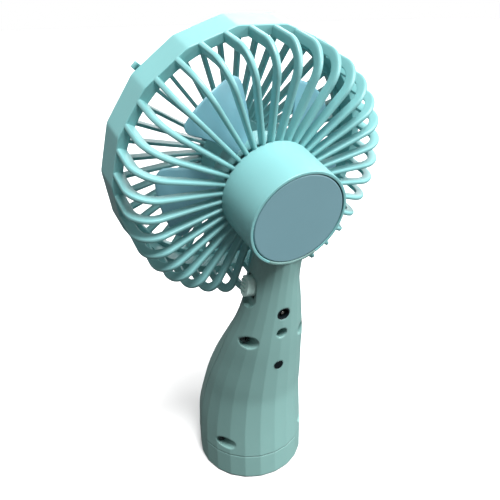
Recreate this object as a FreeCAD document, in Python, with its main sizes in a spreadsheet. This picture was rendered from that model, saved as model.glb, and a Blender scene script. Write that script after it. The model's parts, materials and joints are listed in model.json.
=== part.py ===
import FreeCAD, Part

import math
import os

import Sketcher
from FreeCAD import Placement, Rotation, Vector

# Handheld electric fan. Millimetres, +Z up, origin at the centre of the base's underside.
# The front of the fan faces -Y. The head has a frame of its own: local Z is the head's
# axis pointing out of the front guard, local X is the fan's X.

OUT = "parts"
DOC = FreeCAD.newDocument("HandheldFan")
SHEET = DOC.addObject("Spreadsheet::Sheet", "Sizes")

SIZES = {
    "Head pose": {
        "head_y": 38.3, "head_z": 123.1, "head_tilt": 15.2,
    },
    "Cup behind the impeller": {
        "cup_rim_radius": 17.6, "cup_bevel": 0.25, "cup_front_radius": 18.1, "cup_edge_depth": 19.8,
        "cup_depth": 20.7, "cup_face_radius": 17.2, "cup_inner_radius": 16.0, "cup_seat_radius": 16.6,
        "cup_seat_depth": 2.2, "cup_wall_depth": 18.5, "cup_hole_radius": 3.4,
        "notch_angle": 63.6, "notch_depth": 14.2, "notch_inner_radius": 15.0, "notch_outer_radius": 19.0,
    },
    "Rear guard": {
        "ring_sides": 18, "ring_back": 36.4, "ring_front": 48.1, "ring_radius": 49.6, "ring_flare": 1.93,
        "ring_bore": 45.6, "rib_count": 36, "rib_width": 1.8, "rib_outer": 49.0, "rib_back": 17.2,
        "rib_corner": 9.5, "rib_inner": 45.5, "rib_inner_corner": 6.1, "rib_depth": 3.4,
        "rib_root": 16.8, "rib_foot": 17.4, "rib_end": 37.5, "rib_step": 46.6, "rib_phase": 5,
        "rib_root_back": 19.3,
        "seat_radius": 46.9, "seat_back": 44.5, "lock_radius": 48.2, "lock_back": 45.1, "lock_front": 47.0,
        "lock_angle": 26, "entry_angle": 16, "entry_turn": 5, "lock_count": 3,
    },
    "Rear cap": {
        "cap_radius": 16.3, "cap_bevel": 0.3, "cap_back": 0.1, "cap_leg_radius": 0.85,
        "cap_leg_circle": 15.1, "cap_leg_end": 5.0,
    },
    "Motor": {
        "can_radius": 12.0, "can_back": 4.5, "can_wall": 1.0, "bell_back": 4.4, "bell_front": 6.0,
        "bell_radius": 10.98, "magnet_inner": 9.3, "magnet_back": 8.0, "magnet_front": 16.4,
        "magnet_angle": 140, "bush_bore": 1.03, "front_bush_radius": 3.0, "front_bush_back": 16.9,
        "front_bush_front": 19.6, "rear_bush_radius": 2.5, "rear_bush_back": 3.3, "rear_bush_front": 6.1,
        "bush_play": 0.02, "shaft_radius": 1.0, "shaft_back": 3.4, "shaft_front": 32.5,
        "core_back": 9.8, "core_front": 14.8, "core_hub": 3.2, "arm_width": 2.6, "shoe_inner": 7.6,
        "shoe_outer": 8.8, "shoe_angle": 100, "pole_count": 3, "coil_inner": 3.5, "coil_outer": 7.0,
        "coil_width": 5.6, "coil_back": 8.8, "coil_front": 15.8, "coil_play": 0.1,
        "commutator_radius": 2.4, "commutator_back": 6.4, "commutator_front": 8.5, "commutator_slot": 0.4,
        "terminal_x": 3.5, "terminal_low": -8.5, "terminal_high": -6.5, "terminal_thick": 0.5,
        "terminal_back": 2.9, "motor_screw_circle": 8.0, "motor_screw_hole": 1.1,
    },
    "Impeller": {
        "hub_back": 22.9, "hub_back_radius": 16.7, "hub_front": 34.0, "hub_front_radius": 15.2,
        "hub_top": 35.6, "hub_dome": 3.2, "hub_wall": 1.5, "hub_boss": 3.0, "hub_boss_back": 24.0,
        "hub_bore_end": 32.6, "blade_count": 5, "blade_tip": 35.5, "blade_root": 13.0, "blade_thick": 1.2,
        "root_lead_angle": 50, "root_lead_depth": 24.4, "root_trail_angle": 83, "root_trail_depth": 32.6,
        "tip_lead_angle": 33, "tip_lead_depth": 29.2, "tip_trail_angle": 79, "tip_trail_depth": 36.6,
        "blade_camber": 1.1, "blade_corner": 4.5,
    },
    "Front guard": {
        "rim_inner": 44.0, "rim_outer": 46.6, "rim_back": 44.8, "rim_front": 48.1, "tab_radius": 47.9,
        "tab_back": 45.4, "tab_front": 46.7, "tab_angle": 15, "tab_turn": -5, "spoke_count": 40,
        "spoke_phase": 5.3, "spoke_width": 1.4, "spoke_root": 12.0, "spoke_root_back": 47.5,
        "spoke_root_front": 50.8, "spoke_end": 44.6, "spoke_end_back": 45.6, "spoke_end_front": 48.8, "disc_radius": 13.5,
        "disc_back": 47.3, "disc_front": 50.8, "badge_radius": 11.0, "badge_recess": 0.8,
        "badge_thick": 1.2, "badge_play": 0.15, "lug_angle": 43.0, "lug_width": 2.4, "lug_back": 48.4,
        "lug_front": 49.6, "lug_inner": 44.2, "lug_outer": 51.2, "hook_inner": 50.3, "hook_back": 47.8,
    },
    "Handle form": {
        "side_count": 22, "shell_wall": 2.0, "shell_bottom": 12.0, "cavity_bottom": 10.0,
        "seam_gap": 0.1, "roof_drop": 2.4, "head_clearance": 18.25,
        "height_a": 11.85, "front_a": -23.1, "back_a": 23.1, "half_a": 23.1,
        "height_b": 24.0, "front_b": -22.6, "back_b": 22.9, "half_b": 22.5,
        "height_c": 38.0, "front_c": -17.9, "back_c": 23.1, "half_c": 20.9,
        "height_d": 48.0, "front_d": -12.7, "back_d": 24.3, "half_d": 19.8,
        "height_e": 58.0, "front_e": -6.7, "back_e": 25.7, "half_e": 18.0,
        "height_f": 68.0, "front_f": 0.6, "back_f": 27.2, "half_f": 16.1,
        "height_g": 78.0, "front_g": 7.2, "back_g": 28.5, "half_g": 13.5,
        "height_h": 88.0, "front_h": 11.3, "back_h": 29.9, "half_h": 11.3,
        "height_i": 98.0, "front_i": 13.1, "back_i": 31.6, "half_i": 9.3,
        "neck_half": 8.8, "neck_back_y": 33.65, "neck_back_z": 106.1, "neck_front_y": 16.9,
        "neck_front_z": 110.2, "neck_rise_y": 1.0, "neck_rise_z": 3.6,
    },
    "Saddle under the head": {
        "saddle_angle": 62.3, "saddle_outer": 17.55, "saddle_inner": 14.2, "saddle_depth": 14.0,
        "saddle_seat_radius": 16.55, "saddle_seat_depth": 2.3, "flange_angle": 84, "flange_outer": 15.75,
        "flange_back": 2.6, "slot_half": 3.5, "slot_back": 5.0, "slot_front": 13.0,
    },
    "Base": {
        "base_radius": 23.1, "base_bottom": 0.4, "base_top": 11.85, "base_floor": 2.4,
        "base_bevel": 0.9, "base_hollow": 20.9, "base_hollow_top": 8.0, "lip_inner": 19.4,
        "lip_foot": 9.5, "lip_outer": 20.7, "lip_top": 13.6, "pad_radius": 19.0, "pad_thick": 1.0,
        "pad_play": 0.1,
    },
    "Shell screws": {
        "upper_x": 11.1, "upper_z": 71.8, "upper_seat": 18.5, "upper_recess": 2.75, "upper_boss": 3.65,
        "upper_nut": 2.2, "upper_tip": 9.5, "upper_head": 1.9,
        "middle_x": 0.0, "middle_z": 75.3, "middle_seat": 22.5, "middle_recess": 2.2, "middle_boss": 3.1,
        "middle_nut": 2.4, "middle_tip": 8.5, "middle_head": 1.8,
        "lower_x": 18.0, "lower_z": 17.6, "lower_seat": 8.0, "lower_recess": 2.7, "lower_boss": 3.5,
        "lower_nut": 2.2, "lower_tip": -8.0, "lower_head": 1.9,
        "screw_head_height": 1.4, "screw_shank": 1.0, "screw_hole": 1.1, "screw_pilot": 1.02,
        "pilot_extra": 0.3, "cross_length": 2.2, "cross_width": 0.5, "cross_depth": 0.7,
    },
    "Circuit board": {
        "board_y": 29.3, "board_z": 84.1, "board_lean": 7.6, "board_inner": -5.8, "board_outer": -4.8,
        "board_low": -29.0, "board_high": 13.0, "board_half": 5.6, "board_hole": 3.4,
        "board_hole_height": -9.6, "window_play": 0.1, "jack_half": 3.2, "jack_low": -3.6, "jack_high": 2.6,
        "jack_back": -9.0, "jack_front": -2.6, "barrel_radius": 2.42, "barrel_front": -0.05,
        "barrel_hole": 2.5, "jack_bore": 2.05, "jack_bore_end": -8.05, "pin_radius": 0.6, "pin_tip": -0.9,
        "lamp_height": -24.8, "lamp_radius": 1.85, "lamp_hole": 1.9, "lamp_front": -0.05,
        "chip_high": 1.4, "coil_high": 2.2, "small_high": 1.0,
    },
    "Switch": {
        "switch_x": 9.6, "switch_y": 21.4, "switch_z": 94.7, "switch_lean": 11, "recess_floor": -1.8,
        "recess_half": 3.8, "recess_low": -8.2, "recess_high": 4.8, "recess_reach": 9.0,
        "floor_back": -3.0, "floor_half": 6.5, "floor_low": -12.7, "floor_high": 8.3,
        "button_back": -1.5, "button_front": 2.2, "button_half": 2.7, "button_tall": 8.0,
        "groove_pitch": 1.5, "groove_width": 0.6, "groove_depth": 0.5, "stem_half": 1.0, "stem_end": -4.5,
        "stem_slot_half": 1.5, "stem_slot_low": -5.0, "stem_slot_high": 1.5, "case_back": -6.7,
        "case_half": 1.9, "case_low": -5.7, "case_high": 3.0, "case_slot_half": 1.3,
        "case_slot_low": -5.0, "case_slot_high": 1.4, "case_slot_depth": 1.8,
    },
    "Battery": {
        "cell_y": 6.0, "cell_radius": 9.15, "cell_bottom": 4.3, "cell_top": 53.8, "cell_groove": 0.35,
        "cell_groove_low": 51.4, "cell_groove_high": 52.4, "cell_button": 2.75, "cell_button_top": 54.6,
        "cell_bevel": 0.6, "tab_thick": 0.25, "tab_disc": 6.0, "tab_half": 1.5, "tab_x": 3.0,
        "low_tab_reach": 17.6, "high_tab_reach": 11.2, "foam_radius": 8.5, "foam_top": 4.05,
        "strip_left": -5.0, "strip_right": 1.5, "strip_front": 15.2, "strip_back": 19.6,
        "strip_low": 25.0, "strip_high": 40.0,
    },
    "Wires": {
        "wire_radius": 0.6, "battery_wire_x": 3.0, "low_wire_y": 16.8, "high_wire_y": 10.0,
        "battery_wire_z": 58.3, "motor_wire_x": 1.6, "motor_wire_z": 96.3, "motor_wire_y": 22.9,
        "motor_wire_rise": 104.0, "wire_depth": 9.5, "wire_level": -13.2, "wire_back": 3.4,
    },
}


class Length:
    """A size together with the sheet expression that drives it."""

    def __init__(self, value, text):
        self.value = value
        self.text = text

    def joined(self, sign, other, value):
        return Length(value, f"({self.text} {sign} {as_length(other).text})")

    def __add__(self, other):
        return self.joined("+", other, self.value + as_length(other).value)

    def __sub__(self, other):
        return self.joined("-", other, self.value - as_length(other).value)

    def __mul__(self, other):
        return self.joined("*", other, self.value * as_length(other).value)

    def __truediv__(self, other):
        return self.joined("/", other, self.value / as_length(other).value)

    def __neg__(self):
        return Length(-self.value, f"(0 - {self.text})")


def as_length(number):
    if isinstance(number, Length):
        return number
    return Length(float(number), repr(float(number)))


class Sizes:
    """The sheet's sizes by name."""


size = Sizes()
row = 1
for group, entries in SIZES.items():
    SHEET.set(f"A{row}", group)
    row += 1
    for name, value in entries.items():
        SHEET.set(f"A{row}", name)
        SHEET.set(f"B{row}", str(value))
        SHEET.setAlias(f"B{row}", name)
        setattr(size, name, Length(float(value), f"Sizes.{name}"))
        row += 1
DOC.recompute()

WORLD = Placement()
X_WAY = Vector(1, 0, 0)
Y_WAY = Vector(0, 1, 0)
Z_WAY = Vector(0, 0, 1)
ALONG_X = Placement(Vector(), Rotation(Y_WAY, 90))
ALONG_Y = Placement(Vector(), Rotation(X_WAY, -90))
HEAD = Placement(
    Vector(0, size.head_y.value, size.head_z.value),
    Rotation(X_WAY, 90 - size.head_tilt.value),
)
BOARD = Placement(
    Vector(0, size.board_y.value, size.board_z.value),
    Rotation(X_WAY, -size.board_lean.value),
)
SWITCH = Placement(
    Vector(size.switch_x.value, size.switch_y.value, size.switch_z.value),
    Rotation(Y_WAY, -size.switch_lean.value),
)
NODES = []


# Part objects --------------------------------------------------------------------------

def bind(item, **properties):
    for name, number in properties.items():
        item.setExpression(name, as_length(number).text)


def shifted(frame, x, y, z):
    """The frame moved to a point given in its own coordinates."""
    point = Vector(as_length(x).value, as_length(y).value, as_length(z).value)
    return frame.multiply(Placement(point, Rotation()))


def turned(frame, angle):
    """The frame turned about its own Z."""
    return frame.multiply(Placement(Vector(), Rotation(Z_WAY, angle)))


def cylinder(name, frame, radius, low, high, sweep=360):
    """Cylinder about the frame's Z between two heights."""
    item = DOC.addObject("Part::Cylinder", name)
    bind(item, Radius=radius, Height=as_length(high) - low, Angle=sweep)
    item.Placement = shifted(frame, 0, 0, low)
    return item


def sector(name, frame, radius, low, high, sweep):
    """Cylinder sector centred on the frame's -Y."""
    return cylinder(name, turned(frame, -90 - as_length(sweep).value / 2), radius, low, high, sweep)


def box(name, frame, x_span, y_span, z_span):
    item = DOC.addObject("Part::Box", name)
    bind(
        item,
        Length=as_length(x_span[1]) - x_span[0],
        Width=as_length(y_span[1]) - y_span[0],
        Height=as_length(z_span[1]) - z_span[0],
    )
    item.Placement = shifted(frame, x_span[0], y_span[0], z_span[0])
    return item


def fuse(name, items):
    item = DOC.addObject("Part::MultiFuse", name)
    item.Shapes = items
    return item


def cut(name, base, tool):
    item = DOC.addObject("Part::Cut", name)
    item.Base = base
    item.Tool = tool
    return item


def common(name, base, tool):
    item = DOC.addObject("Part::Common", name)
    item.Base = base
    item.Tool = tool
    return item


def group_of(name, items):
    item = DOC.addObject("Part::Compound", name)
    item.Links = items
    return item


def feature(name, shape, frame=WORLD):
    item = DOC.addObject("Part::Feature", name)
    item.Shape = shape
    item.Placement = frame
    return item


def node(label, item):
    """Name an object as one of the exported parts."""
    item.Label = label
    NODES.append(item)
    return item


# PartDesign bodies ----------------------------------------------------------------------

def new_body(name, frame=WORLD):
    body = DOC.addObject("PartDesign::Body", name)
    body.AllowCompound = True
    body.Placement = frame
    return body


def origin_item(body, role):
    for item in body.Origin.OriginFeatures:
        if item.Role == role:
            return item
    raise ValueError(role)


def sketch_on(body, role, name, height=0, turn=0):
    """Sketch on an origin plane, raised along its normal or turned about its own Y."""
    sketch = body.newObject("Sketcher::SketchObject", f"{body.Name}_{name}")
    sketch.AttachmentSupport = (origin_item(body, role), [""])
    sketch.MapMode = "FlatFace"
    sketch.AttachmentOffset = Placement(Vector(), Rotation(Y_WAY, as_length(turn).value))
    sketch.setExpression("AttachmentOffset.Base.z", as_length(height).text)
    return sketch


def fix_point(sketch, geometry, position, x, y):
    """Hold a point at x, y with driven distances, or on an axis where a distance is nil."""
    x = as_length(x)
    y = as_length(y)
    if x.value == 0 and y.value == 0:
        sketch.addConstraint(Sketcher.Constraint("Coincident", geometry, position, -1, 1))
        return
    for kind, number, axis in (("DistanceX", x, -2), ("DistanceY", y, -1)):
        if number.value == 0:
            sketch.addConstraint(Sketcher.Constraint("PointOnObject", geometry, position, axis))
            continue
        index = sketch.addConstraint(
            Sketcher.Constraint(kind, -1, 1, geometry, position, number.value)
        )
        sketch.setExpression(f"Constraints[{index}]", number.text)


def outline(sketch, corners):
    """Closed loop of lines through corners (x, y) or (x, y, rounding radius)."""
    count = len(corners)
    points = [Vector(as_length(c[0]).value, as_length(c[1]).value, 0) for c in corners]
    trims = []
    for k, corner in enumerate(corners):
        if len(corner) < 3:
            trims.append(None)
            continue
        before = (points[k - 1] - points[k]).normalize()
        after = (points[(k + 1) % count] - points[k]).normalize()
        half_turn = before.getAngle(after) / 2
        radius = as_length(corner[2]).value
        reach = radius / math.tan(half_turn)
        middle = points[k] + (before + after).normalize() * (radius / math.sin(half_turn))
        trims.append((points[k] + before * reach, points[k] + after * reach, middle, radius))
    lines = []
    for k in range(count):
        after = (k + 1) % count
        start = trims[k][1] if trims[k] else points[k]
        end = trims[after][0] if trims[after] else points[after]
        lines.append(sketch.addGeometry(Part.LineSegment(start, end), False))
    for k, corner in enumerate(corners):
        before = lines[k - 1]
        after = lines[k]
        if not trims[k]:
            sketch.addConstraint(Sketcher.Constraint("Coincident", before, 2, after, 1))
            fix_point(sketch, after, 1, corner[0], corner[1])
            continue
        start, end, middle, radius = trims[k]
        turn_in = math.atan2(start.y - middle.y, start.x - middle.x)
        turn_out = math.atan2(end.y - middle.y, end.x - middle.x)
        first, last = (1, 2)
        if (turn_out - turn_in) % (2 * math.pi) > math.pi:
            turn_in, turn_out = turn_out, turn_in
            first, last = (2, 1)
        whole = Part.Circle(middle, Z_WAY, radius)
        rounded = sketch.addGeometry(Part.ArcOfCircle(whole, turn_in, turn_out), False)
        peg = sketch.addGeometry(Part.Point(points[k]), True)
        fix_point(sketch, peg, 1, corner[0], corner[1])
        sketch.addConstraint(Sketcher.Constraint("PointOnObject", peg, 1, before))
        sketch.addConstraint(Sketcher.Constraint("PointOnObject", peg, 1, after))
        sketch.addConstraint(Sketcher.Constraint("Tangent", before, 2, rounded, first))
        sketch.addConstraint(Sketcher.Constraint("Tangent", after, 1, rounded, last))
        index = sketch.addConstraint(Sketcher.Constraint("Radius", rounded, radius))
        sketch.setExpression(f"Constraints[{index}]", as_length(corner[2]).text)
    return sketch


def circle(sketch, radius, x=0, y=0):
    radius = as_length(radius)
    centre = Vector(as_length(x).value, as_length(y).value, 0)
    ring = sketch.addGeometry(Part.Circle(centre, Z_WAY, radius.value), False)
    fix_point(sketch, ring, 3, x, y)
    index = sketch.addConstraint(Sketcher.Constraint("Radius", ring, radius.value))
    sketch.setExpression(f"Constraints[{index}]", radius.text)
    return sketch


def polygon(sketch, sides, radius, first_axis):
    """Regular polygon about the origin with its first corner on the given axis."""
    radius = as_length(radius)
    start = 0 if first_axis == -1 else math.pi / 2
    corners = []
    for k in range(sides):
        angle = start + 2 * math.pi * k / sides
        corners.append(Vector(radius.value * math.cos(angle), radius.value * math.sin(angle), 0))
    guide = sketch.addGeometry(Part.Circle(Vector(), Z_WAY, radius.value), True)
    fix_point(sketch, guide, 3, 0, 0)
    index = sketch.addConstraint(Sketcher.Constraint("Radius", guide, radius.value))
    sketch.setExpression(f"Constraints[{index}]", radius.text)
    lines = []
    for k in range(sides):
        edge = Part.LineSegment(corners[k], corners[(k + 1) % sides])
        lines.append(sketch.addGeometry(edge, False))
    for k in range(sides):
        sketch.addConstraint(Sketcher.Constraint("Coincident", lines[k - 1], 2, lines[k], 1))
        sketch.addConstraint(Sketcher.Constraint("PointOnObject", lines[k], 1, guide))
    for k in range(1, sides):
        sketch.addConstraint(Sketcher.Constraint("Equal", lines[0], lines[k]))
    sketch.addConstraint(Sketcher.Constraint("PointOnObject", lines[0], 1, first_axis))
    return sketch


def solid_feature(kind, name, body, sketch, **properties):
    item = body.newObject(f"PartDesign::{kind}", f"{body.Name}_{name}")
    item.Profile = sketch
    for key, value in properties.items():
        setattr(item, key, value)
    return item


def pad(name, body, sketch, length, both_ways=False, flare=None):
    item = solid_feature("Pad", name, body, sketch, Midplane=both_ways)
    bind(item, Length=length)
    if flare is not None:
        bind(item, TaperAngle=flare)
    return item


def pocket(name, body, sketch, depth):
    """Cut downwards from the sketch's plane."""
    item = solid_feature("Pocket", name, body, sketch)
    bind(item, Length=depth)
    return item


def revolve(name, body, sketch, sweep=360, both_ways=False):
    item = solid_feature("Revolution", name, body, sketch, Midplane=both_ways)
    item.ReferenceAxis = (sketch, ["V_Axis"])
    bind(item, Angle=sweep)
    return item


def groove(name, body, sketch, sweep=360, both_ways=False):
    item = solid_feature("Groove", name, body, sketch, Midplane=both_ways)
    item.ReferenceAxis = (sketch, ["V_Axis"])
    bind(item, Angle=sweep)
    return item


def pattern(name, body, item, count):
    """Equally spaced copies of a feature about the body's Z."""
    copies = body.newObject("PartDesign::PolarPattern", f"{body.Name}_{name}")
    copies.Originals = [item]
    copies.Axis = (origin_item(body, "Z_Axis"), [""])
    copies.Angle = 360
    bind(copies, Occurrences=count)
    body.Tip = copies
    return copies


def rectangle(sketch, x_span, y_span):
    return outline(sketch, [
        (x_span[0], y_span[0]),
        (x_span[1], y_span[0]),
        (x_span[1], y_span[1]),
        (x_span[0], y_span[1]),
    ])


# Cup, ring and ribs: one moulding -------------------------------------------------------

guard = new_body("RearGuard", HEAD)
cup_sketch = outline(sketch_on(guard, "XZ_Plane", "Cup"), [
    (size.cup_seat_radius, 0),
    (size.cup_rim_radius - size.cup_bevel, 0),
    (size.cup_rim_radius, size.cup_bevel),
    (size.cup_front_radius, size.cup_edge_depth),
    (size.cup_face_radius, size.cup_depth),
    (size.cup_hole_radius, size.cup_depth),
    (size.cup_hole_radius, size.cup_wall_depth),
    (size.cup_inner_radius, size.cup_wall_depth),
    (size.cup_inner_radius, size.cup_seat_depth),
    (size.cup_seat_radius, size.cup_seat_depth),
])
revolve("CupTurn", guard, cup_sketch)
screw_sketch = sketch_on(guard, "XY_Plane", "ScrewHoles", size.cup_depth + 0.5)
circle(screw_sketch, size.motor_screw_hole, size.motor_screw_circle)
circle(screw_sketch, size.motor_screw_hole, -size.motor_screw_circle)
pocket("ScrewHoleCut", guard, screw_sketch, size.cup_depth - size.cup_wall_depth + 1)
notch_sketch = rectangle(
    sketch_on(guard, "XZ_Plane", "Notch", turn=-90),
    (size.notch_inner_radius, size.notch_outer_radius),
    (-1, size.notch_depth),
)
groove("NotchCut", guard, notch_sketch, size.notch_angle, both_ways=True)
rib_sketch = outline(sketch_on(guard, "XZ_Plane", "Rib", turn=size.rib_phase), [
    (size.rib_outer, size.rib_end),
    (size.rib_outer, size.rib_back, size.rib_corner),
    (size.rib_root, size.rib_root_back),
    (size.rib_root, size.cup_depth),
    (size.rib_foot, size.cup_depth),
    (size.rib_foot, size.rib_root_back + size.rib_depth),
    (size.rib_inner, size.rib_back + size.rib_depth, size.rib_inner_corner),
    (size.rib_inner, size.ring_back - 0.4),
    (size.rib_step, size.ring_back - 0.4),
    (size.rib_step, size.rib_end),
])
rib = pad("RibPad", guard, rib_sketch, size.rib_width, both_ways=True)
pattern("Ribs", guard, rib, size.rib_count)
ring_sketch = polygon(
    sketch_on(guard, "XY_Plane", "Ring", size.ring_back),
    int(size.ring_sides.value), size.ring_radius, -1,
)
pad("RingPad", guard, ring_sketch, size.ring_front - size.ring_back, flare=size.ring_flare)
bore_sketch = circle(sketch_on(guard, "XY_Plane", "Bore", size.ring_front + 1), size.ring_bore)
pocket("BoreCut", guard, bore_sketch, size.ring_front + 1 - size.ring_back)
seat_sketch = circle(sketch_on(guard, "XY_Plane", "Seat", size.ring_front + 1), size.seat_radius)
pocket("SeatCut", guard, seat_sketch, size.ring_front + 1 - size.seat_back)
lock_sketch = rectangle(
    sketch_on(guard, "XZ_Plane", "Lock"),
    (size.seat_radius - 0.5, size.lock_radius),
    (size.lock_back, size.lock_front),
)
lock = groove("LockCut", guard, lock_sketch, size.lock_angle, both_ways=True)
pattern("Locks", guard, lock, size.lock_count)
entry_sketch = rectangle(
    sketch_on(guard, "XZ_Plane", "Entry", turn=size.entry_turn),
    (size.seat_radius - 0.5, size.lock_radius),
    (size.lock_front - 0.3, size.ring_front + 1),
)
entry = groove("EntryCut", guard, entry_sketch, size.entry_angle, both_ways=True)
pattern("Entries", guard, entry, size.lock_count)
node("rear_guard", guard)

cap = new_body("RearCap", HEAD)
cap_sketch = outline(sketch_on(cap, "XZ_Plane", "Disc"), [
    (0, size.cap_back),
    (size.cap_radius - size.cap_bevel, size.cap_back),
    (size.cap_radius, size.cap_back + size.cap_bevel),
    (size.cap_radius, size.cup_seat_depth),
    (0, size.cup_seat_depth),
])
revolve("DiscTurn", cap, cap_sketch)
leg_sketch = sketch_on(cap, "XY_Plane", "Leg", size.cup_seat_depth)
circle(leg_sketch, size.cap_leg_radius, 0, size.cap_leg_circle)
leg = pad("LegPad", cap, leg_sketch, size.cap_leg_end - size.cup_seat_depth)
pattern("Legs", cap, leg, 3)
node("rear_cap", cap)

# Motor ----------------------------------------------------------------------------------

can = new_body("MotorCan", HEAD)
can_sketch = outline(sketch_on(can, "XZ_Plane", "Can"), [
    (size.can_radius - size.can_wall, size.can_back),
    (size.can_radius, size.can_back),
    (size.can_radius, size.cup_wall_depth),
    (size.front_bush_radius + size.bush_play, size.cup_wall_depth),
    (size.front_bush_radius + size.bush_play, size.cup_wall_depth - size.can_wall),
    (size.can_radius - size.can_wall, size.cup_wall_depth - size.can_wall),
])
revolve("CanTurn", can, can_sketch)
tapped_sketch = sketch_on(can, "XY_Plane", "Tapped", size.cup_wall_depth + 1)
circle(tapped_sketch, size.screw_pilot, size.motor_screw_circle)
circle(tapped_sketch, size.screw_pilot, -size.motor_screw_circle)
pocket("TappedCut", can, tapped_sketch, size.can_wall + 2)
node("motor_can", can)

magnets = new_body("Magnets", HEAD)
magnet_sketch = rectangle(
    sketch_on(magnets, "XZ_Plane", "Arc", turn=90),
    (size.magnet_inner, size.bell_radius),
    (size.magnet_back, size.magnet_front),
)
magnet = revolve("ArcTurn", magnets, magnet_sketch, size.magnet_angle, both_ways=True)
pattern("ArcPair", magnets, magnet, 2)
node("motor_magnets", magnets)


def turned_tube(name, inner, outer, back, front):
    """Plain tube about the head's axis."""
    body = new_body(name, HEAD)
    rectangle(sketch_on(body, "XZ_Plane", "Section"), (inner, outer), (back, front))
    revolve("Turn", body, body.Group[-1])
    return body


bell = turned_tube(
    "EndBell", size.rear_bush_radius + size.bush_play, size.bell_radius, size.bell_back, size.bell_front,
)
node("motor_end_bell", bell)
front_bush = turned_tube(
    "FrontBush", size.bush_bore, size.front_bush_radius, size.front_bush_back, size.front_bush_front,
)
node("motor_front_bush", front_bush)
rear_bush = turned_tube(
    "RearBush", size.bush_bore, size.rear_bush_radius, size.rear_bush_back, size.rear_bush_front,
)
node("motor_rear_bush", rear_bush)

terminals = [
    box(
        f"Terminal{side}", HEAD,
        (size.terminal_x * side - size.terminal_thick / 2, size.terminal_x * side + size.terminal_thick / 2),
        (size.terminal_low, size.terminal_high),
        (size.terminal_back, size.bell_back),
    )
    for side in (1, -1)
]
node("motor_terminals", group_of("Terminals", terminals))

shaft = new_body("Shaft", HEAD)
shaft_sketch = circle(sketch_on(shaft, "XY_Plane", "Round", size.shaft_back), size.shaft_radius)
pad("Rod", shaft, shaft_sketch, size.shaft_front - size.shaft_back)
node("motor_shaft", shaft)

core = new_body("RotorCore", HEAD)
core_sketch = sketch_on(core, "XY_Plane", "Hub", size.core_back)
circle(core_sketch, size.core_hub)
circle(core_sketch, size.shaft_radius)
pad("HubPad", core, core_sketch, size.core_front - size.core_back)
arm_sketch = rectangle(
    sketch_on(core, "XZ_Plane", "Arm", turn=90),
    (size.core_hub - 0.6, size.shoe_inner + 0.4),
    (size.core_back, size.core_front),
)
arm = pad("ArmPad", core, arm_sketch, size.arm_width, both_ways=True)
pattern("Arms", core, arm, size.pole_count)
shoe_sketch = rectangle(
    sketch_on(core, "XZ_Plane", "Shoe", turn=90),
    (size.shoe_inner, size.shoe_outer),
    (size.core_back, size.core_front),
)
shoe = revolve("ShoeTurn", core, shoe_sketch, size.shoe_angle, both_ways=True)
pattern("Shoes", core, shoe, size.pole_count)
node("rotor_core", core)

coils = []
for k in range(int(size.pole_count.value)):
    arm_frame = turned(HEAD, 90 + 360 / size.pole_count.value * k)
    half = size.coil_width / 2
    hole = size.arm_width / 2 + size.coil_play
    winding = box(
        f"Winding{k}", arm_frame, (size.coil_inner, size.coil_outer), (-half, half),
        (size.coil_back, size.coil_front),
    )
    opening = box(
        f"WindingHole{k}", arm_frame, (size.coil_inner - 1, size.coil_outer + 1), (-hole, hole),
        (size.core_back - size.coil_play, size.core_front + size.coil_play),
    )
    coils.append(cut(f"Coil{k}", winding, opening))
node("rotor_windings", group_of("Coils", coils))

commutator = new_body("Commutator", HEAD)
ring_face = sketch_on(commutator, "XY_Plane", "Ring", size.commutator_back)
circle(ring_face, size.commutator_radius)
circle(ring_face, size.shaft_radius)
pad("RingPad", commutator, ring_face, size.commutator_front - size.commutator_back)
slit_sketch = rectangle(
    sketch_on(commutator, "XZ_Plane", "Slit", size.commutator_slot / -2, turn=90),
    (size.shaft_radius + 0.5, size.commutator_radius + 1),
    (size.commutator_back - 1, size.commutator_front + 1),
)
slit = pocket("SlitCut", commutator, slit_sketch, size.commutator_slot)
slit.Reversed = True
pattern("Slits", commutator, slit, size.pole_count)
node("commutator", commutator)


def cross_head_screw(name, frame, head_radius, tip):
    """Screw along the frame's Z: head above nil, shank down to the tip."""
    head = cylinder(f"{name}Head", frame, head_radius, 0, size.screw_head_height)
    shank = cylinder(f"{name}Shank", frame, size.screw_shank, tip, 0)
    arm_half = size.cross_length / 2
    slot_half = size.cross_width / 2
    depth = (size.screw_head_height - size.cross_depth, size.screw_head_height + 1)
    arms = [
        box(f"{name}CrossA", frame, (-arm_half, arm_half), (-slot_half, slot_half), depth),
        box(f"{name}CrossB", frame, (-slot_half, slot_half), (-arm_half, arm_half), depth),
    ]
    return cut(name, fuse(f"{name}Solid", [head, shank]), fuse(f"{name}Cross", arms))


motor_screws = [
    cross_head_screw(
        f"MotorScrew{k}", shifted(HEAD, size.motor_screw_circle * side, 0, size.cup_depth),
        size.middle_head, size.cup_wall_depth - size.can_wall - size.cup_depth,
    )
    for k, side in enumerate((1, -1))
]
node("motor_screws", group_of("MotorScrews", motor_screws))

# Impeller -------------------------------------------------------------------------------

hub = new_body("ImpellerHub", HEAD)
hub_sketch = outline(sketch_on(hub, "XZ_Plane", "Hub"), [
    (size.hub_back_radius - size.hub_wall, size.hub_back),
    (size.hub_back_radius, size.hub_back),
    (size.hub_front_radius, size.hub_top, size.hub_dome),
    (0, size.hub_top),
    (0, size.hub_bore_end),
    (size.shaft_radius, size.hub_bore_end),
    (size.shaft_radius, size.hub_boss_back),
    (size.hub_boss, size.hub_boss_back),
    (size.hub_boss, size.hub_top - size.hub_wall),
    (size.hub_front_radius - size.hub_wall, size.hub_top - size.hub_wall),
])
revolve("HubTurn", hub, hub_sketch)
hub_core = cylinder(
    "HubCore", HEAD, size.hub_front_radius - size.hub_wall / 2, size.hub_back - 2, size.hub_top - size.hub_wall,
)


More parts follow.
